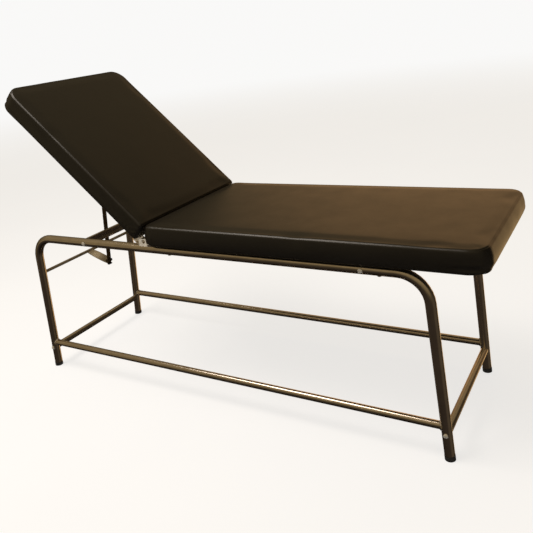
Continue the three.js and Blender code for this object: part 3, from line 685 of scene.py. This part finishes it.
def add_staples(name, low, high, corners, to_row, body):
    """The wire staples that hold a pad's hem to its board."""
    points, faces = [], []
    for number, (place, way) in enumerate(hem_stations(low, high, corners)):
        skew = STAPLE_SKEW * noise.noise(Vector((number * 1.7, low[0], 3.1)))
        way = np.array([way[0] - skew * way[1], way[1] + skew * way[0]])
        side = np.array([-way[1], way[0]])
        first = len(points)
        last = first + (len(STAPLE_BENDS) - 1) * STAPLE_SIDES
        for along, drop in STAPLE_BENDS:
            for turn in range(STAPLE_SIDES):
                angle = 2 * math.pi * turn / STAPLE_SIDES
                flat = place + way * along * STAPLE_HALF + side * STAPLE_WIRE * math.cos(angle)
                height = low[2] - drop * MM + STAPLE_WIRE * math.sin(angle)
                points.append(Vector((flat[0], flat[1], height)))
        for ring in range(len(STAPLE_BENDS) - 1):
            for turn in range(STAPLE_SIDES):
                a = first + ring * STAPLE_SIDES + turn
                b = first + ring * STAPLE_SIDES + (turn + 1) % STAPLE_SIDES
                faces.append((a, b, b + STAPLE_SIDES, a + STAPLE_SIDES))
        faces.append(tuple(first + turn for turn in range(STAPLE_SIDES - 1, -1, -1)))
        faces.append(tuple(last + turn for turn in range(STAPLE_SIDES)))
    piece = add_piece(name, [to_row @ p for p in points], faces, STAPLE, body)


def add_pad(name, cover, foam, body, to_row, free_sign,
            free_belly, hinge_corner, hinge_bottom, seed, dents):
    """A cushion swollen as cloth, with its seam and creases, standing for a cover and its foam."""
    to_flat = np.array(to_row.inverted())
    corners = np.array([v.co for v in NODES[cover].data.vertices]) @ to_flat[:3, :3].T + to_flat[:3, 3]
    low, high = corners.min(0), corners.max(0)
    low[:2] += SIDE_EASE
    high[:2] -= SIDE_EASE
    high[2] -= CROWN_EASE
    shape = [(hinge_corner, FREE_CORNER), (hinge_bottom, FREE_BOTTOM_EDGE), (HINGE_BELLY, free_belly)]
    if free_sign < 0:
        shape = [pair[::-1] for pair in shape]
    spans = high - low
    lines = [
        lattice_lines(spans[0], SKIN_CELL, HEM_LINES),
        lattice_lines(spans[1], SKIN_CELL, HEM_LINES),
        lattice_lines(spans[2], UPRIGHT_CELL, EDGE_LINES),
    ]
    where, quads = block_skin(lines)
    block_points = np.stack([lines[a][where[:, a]] for a in range(3)], 1) + low
    points = round_block(block_points, low, high, *shape)

    coarse = [lattice_lines(span, SWELL_CELL) for span in spans]
    coarse_where, coarse_quads = block_skin(coarse)
    coarse_block = np.stack([coarse[a][coarse_where[:, a]] for a in range(3)], 1) + low
    coarse_points = round_block(coarse_block, low, high, *shape)
    moved = swell(coarse_points, coarse_quads, coarse_block[:, 2] < low[2] + BOARD_BAND)
    field = np.zeros([len(line) for line in coarse] + [3])
    field[tuple(coarse_where.T)] = moved
    points = points + read_lattice(field, coarse, block_points - low)

    normals = point_normals(points, quads)
    detail = sewn_detail(block_points, points, low, high, free_sign, seed)
    for place, depth, width in dents:
        spot = np.array([low[0] + place[0] * spans[0], low[1] + place[1] * spans[1], high[2]])
        detail -= depth * np.exp(-np.sum((points - spot) ** 2, 1) / width ** 2)
    from_ends, from_sides = inward(block_points, low, high)
    underside = block_points[:, 2] < low[2] + TOUCHING
    inside_hem = underside & (np.minimum(from_ends, from_sides) > HEM + TOUCHING)
    points = points + normals * np.where(underside, 0, detail)[:, None]
    points[inside_hem, 2] += HEM_THICKNESS
    row = points @ np.array(to_row)[:3, :3].T + np.array(to_row)[:3, 3]
    pad = add_piece(name, row, quads, VINYL, body)
    smooth = pad.modifiers.new("smooth_skin", "SUBSURF")
    smooth.levels = 1
    smooth.render_levels = 1
    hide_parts(cover, foam)
    add_staples(f"{name}_staples", low, high, shape[0], to_row, body)


# Dents: place on the top as shares of its length and width, depth, and reach.
SEAT_DENTS = [((0.52, 0.0), 2.6 * MM, 36 * MM), ((0.86, 0.0), 1.2 * MM, 50 * MM)]
BACKREST_DENTS = [((0.35, 0.0), 1.8 * MM, 40 * MM)]
add_pad("seat_pad", "seat_cover", "seat_foam", "frame", SEAT_TO_ROW, 1,
        free_belly=8 * MM, hinge_corner=32 * MM, hinge_bottom=18 * MM, seed=1, dents=SEAT_DENTS)
add_pad("backrest_pad", "backrest_cover", "backrest_foam", "backrest", BACKREST_TO_ROW, -1,
        free_belly=3 * MM, hinge_corner=10 * MM, hinge_bottom=6 * MM, seed=5, dents=BACKREST_DENTS)

# ---------------------------------------------------------------- studio

FLOOR_GLOW = 0.72                       # lifts the floor to a pale tone under the dim warm room light
FLOOR_FADE = (5.0, 16.0)                # metres from the couch, where the floor turns into the backdrop
BACKDROP = (0.95, 0.945, 0.935)


def add_floor():
    """A pale floor that fades into the backdrop far from the couch."""
    bpy.ops.mesh.primitive_circle_add(vertices=96, radius=60, fill_type="NGON", location=(0, 0, 0))
    floor = bpy.context.object
    floor.name = "floor"
    look = Look("pale_floor")
    tone = look.ramp(look.noise(1.2, 3, 0.5), (0.3, (0.44, 0.455, 0.48)), (0.7, (0.46, 0.475, 0.50)))
    look.feed("Base Color", tone)
    look.feed("Roughness", look.spread(look.noise(3, 3, 0.5), 0.85, 0.95))
    look.set(Emission_Color=(1.0, 1.0, 1.0, 1), Emission_Strength=FLOOR_GLOW, Specular_IOR_Level=0.0)
    away = look.nodes.new("ShaderNodeVectorMath")
    away.operation = "LENGTH"
    look.links.new(look.place, away.inputs[0])
    fade = look.nodes.new("ShaderNodeMapRange")
    fade.interpolation_type = "SMOOTHSTEP"
    fade.inputs["From Min"].default_value, fade.inputs["From Max"].default_value = FLOOR_FADE
    look.links.new(away.outputs["Value"], fade.inputs["Value"])
    far = look.nodes.new("ShaderNodeEmission")
    far.inputs["Color"].default_value = (*BACKDROP, 1)
    blend = look.nodes.new("ShaderNodeMixShader")
    look.links.new(fade.outputs["Result"], blend.inputs["Fac"])
    look.links.new(look.shader.outputs[0], blend.inputs[1])
    look.links.new(far.outputs[0], blend.inputs[2])
    look.links.new(blend.outputs[0], look.nodes["Material Output"].inputs["Surface"])
    floor.data.materials.append(look.material)
    floor.visible_glossy = False


def add_softbox(name, place, target, size, power, color):
    """A rectangular lamp at a place, turned towards a target and hidden from the camera."""
    data = bpy.data.lights.new(name, "AREA")
    data.shape = "RECTANGLE"
    data.size, data.size_y = size
    data.energy = power
    data.color = color
    light = bpy.data.objects.new(name, data)
    light.location = place
    light.rotation_euler = (Vector(target) - Vector(place)).to_track_quat("-Z", "Y").to_euler()
    light.visible_camera = False
    bpy.context.scene.collection.objects.link(light)


# Tones of the room by the height of the direction, from straight down (-1) to straight up (1).
FRONT_TONES = (
    (-0.80, (0.012, 0.009, 0.007)),
    (-0.58, (0.048, 0.036, 0.027)),
    (-0.30, (0.050, 0.038, 0.028)),
    (-0.08, (0.105, 0.081, 0.047)),
    (0.10, (0.240, 0.184, 0.100)),
    (0.55, (0.360, 0.275, 0.150)),
    (1.00, (0.370, 0.285, 0.160)),
)
BACK_TONES = (
    (-0.80, (0.012, 0.009, 0.007)),
    (-0.58, (0.048, 0.036, 0.027)),
    (-0.20, (0.055, 0.042, 0.030)),
    (0.05, (0.100, 0.076, 0.042)),
    (0.30, (0.150, 0.115, 0.064)),
    (0.60, (0.290, 0.222, 0.122)),
    (1.00, (0.370, 0.285, 0.160)),
)
FRONT_WAY = (0.0, -1.0, 0.0)
FRONT_SPAN = (-0.1, 0.5)                # cosines between which the back's tones turn into the front's
# Patches of the room: the way they lie, the cosines where they start and are full, and their tone.
FOOT_SHADE = ((1.0, 0.0, 0.0), 0.2, 0.6, (0.045, 0.034, 0.021))     # dark, in the back tones only
GLOWS = (
    ((-0.76, -0.64, -0.10), 0.965, 0.99, (0.30, 0.23, 0.125)),      # low, beyond the head end
    ((0.93, -0.05, -0.36), 0.80, 0.97, (0.10, 0.077, 0.052)),       # low, beyond the foot end
    ((-0.08, 0.995, -0.02), 0.77, 0.95, (0.84, 0.49, 0.22)),        # a window along the far side
    ((0.13, 0.94, -0.33), 0.93, 0.99, (1.0, 0.64, 0.29)),           # its light on the ground
)


def add_world():
    """A dim warm room with one low window, behind a pale backdrop."""
    world = bpy.data.worlds.new("studio")
    world.use_nodes = True
    nodes, links = world.node_tree.nodes, world.node_tree.links
    direction = nodes.new("ShaderNodeTexCoord").outputs["Generated"]

    def reach_towards(way, low, high):
        dot = nodes.new("ShaderNodeVectorMath")
        dot.operation = "DOT_PRODUCT"
        dot.inputs[1].default_value = way
        links.new(direction, dot.inputs[0])
        span = nodes.new("ShaderNodeMapRange")
        span.interpolation_type = "SMOOTHSTEP"
        span.inputs["From Min"].default_value = low
        span.inputs["From Max"].default_value = high
        links.new(dot.outputs["Value"], span.inputs["Value"])
        return span

    def sky(tones):
        ramp = nodes.new("ShaderNodeValToRGB")
        while len(ramp.color_ramp.elements) < len(tones):
            ramp.color_ramp.elements.new(0.5)
        for element, (height, color) in zip(ramp.color_ramp.elements, tones):
            element.position = (height + 1) / 2
            element.color = (*color, 1)
        height = reach_towards((0, 0, 1), -1, 1)
        height.interpolation_type = "LINEAR"
        links.new(height.outputs["Result"], ramp.inputs["Fac"])
        shader = nodes.new("ShaderNodeBackground")
        links.new(ramp.outputs["Color"], shader.inputs["Color"])
        return shader.outputs[0]

    def blend(factor, first, second):
        shader = nodes.new("ShaderNodeMixShader")
        links.new(factor, shader.inputs["Fac"])
        links.new(first, shader.inputs[1])
        links.new(second, shader.inputs[2])
        return shader.outputs[0]

    def patch(room, way, low, high, tone):
        shader = nodes.new("ShaderNodeBackground")
        shader.inputs["Color"].default_value = (*tone, 1)
        return blend(reach_towards(way, low, high).outputs["Result"], room, shader.outputs[0])

    back = patch(sky(BACK_TONES), *FOOT_SHADE)
    room = blend(reach_towards(FRONT_WAY, *FRONT_SPAN).outputs["Result"], back, sky(FRONT_TONES))
    for glow in GLOWS:
        room = patch(room, *glow)
    backdrop = nodes["Background"]
    backdrop.inputs["Color"].default_value = (*BACKDROP, 1)
    to_camera = nodes.new("ShaderNodeLightPath").outputs["Is Camera Ray"]
    links.new(blend(to_camera, room, backdrop.outputs[0]), nodes["World Output"].inputs["Surface"])
    bpy.context.scene.world = world


LAMP_PLACE = (-1.1, -1.0, 3.2)
LAMP_TARGET = (0, 0, 0.5)
LAMP_SIZE = (1.9, 1.2)
LAMP_POWER = 45
LAMP_TINT = (1.0, 0.90, 0.80)

add_floor()
add_world()
add_softbox("ceiling_lamp", LAMP_PLACE, LAMP_TARGET, LAMP_SIZE, LAMP_POWER, LAMP_TINT)

bpy.context.scene.view_settings.view_transform = "Standard"
